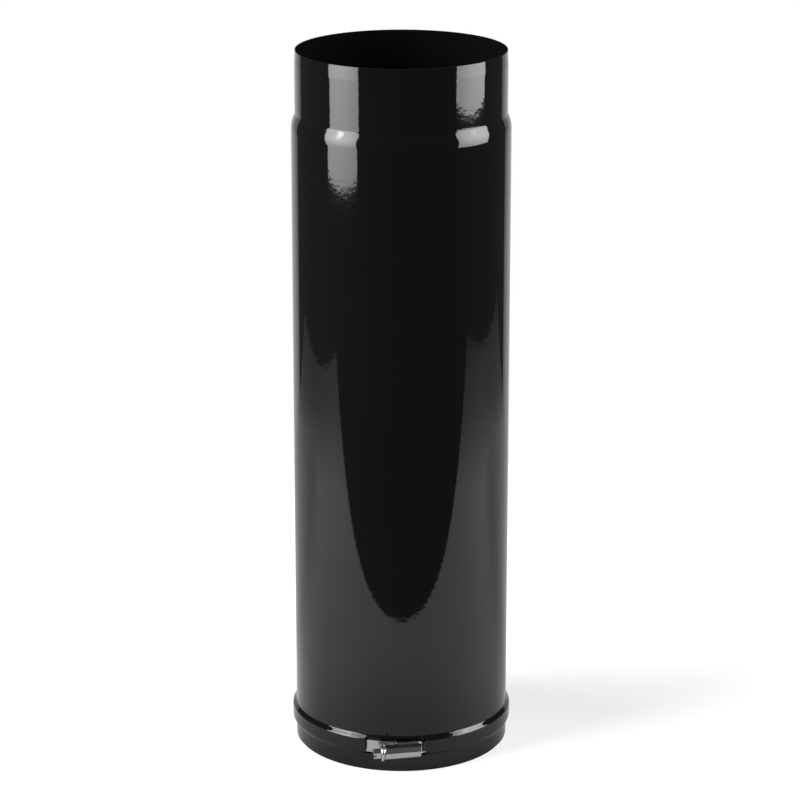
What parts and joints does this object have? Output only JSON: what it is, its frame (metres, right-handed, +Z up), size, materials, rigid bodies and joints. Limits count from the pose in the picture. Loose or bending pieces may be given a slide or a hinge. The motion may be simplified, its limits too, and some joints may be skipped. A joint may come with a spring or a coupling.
{
  "type": "telescopic stove pipe",
  "caption": "Gloss black enamelled telescopic stove pipe: a spigoted outer pipe slides on a plain inner pipe and is clamped by a worm-drive clip inside a rolled bead.",
  "frame": {"origin": "on the pipes' axis, at the lower edge of the inner pipe", "axes": "+Z up along the pipes towards the spigot; the clip's window faces -Y; +X is to the right of someone facing the clip"},
  "size_m": [0.1566, 0.1693, 0.5015],
  "materials": {
    "black_enamel": "gloss vitreous enamel on steel sheet",
    "clip_steel": "bright zinc plate"
  },
  "bodies": {
    "inner": {"inner_pipe": "black_enamel"},
    "outer": {"outer_pipe": "black_enamel", "clip_band": "clip_steel", "clip_saddle": "clip_steel", "clip_housing": "clip_steel"},
    "screw": {"worm_screw": "clip_steel"}
  },
  "joints": [
    {"name": "telescope_slide", "type": "slide", "parent": "inner", "child": "outer", "axis": [0, 0, 1], "range_m": [0, 0.3]},
    {"name": "clamp_screw_turn", "type": "hinge", "parent": "outer", "child": "screw", "pos_m": [0.01593, -0.07972, 0.0185], "axis": [-0.9806, -0.1959, 0], "continuous": true}
  ]
}
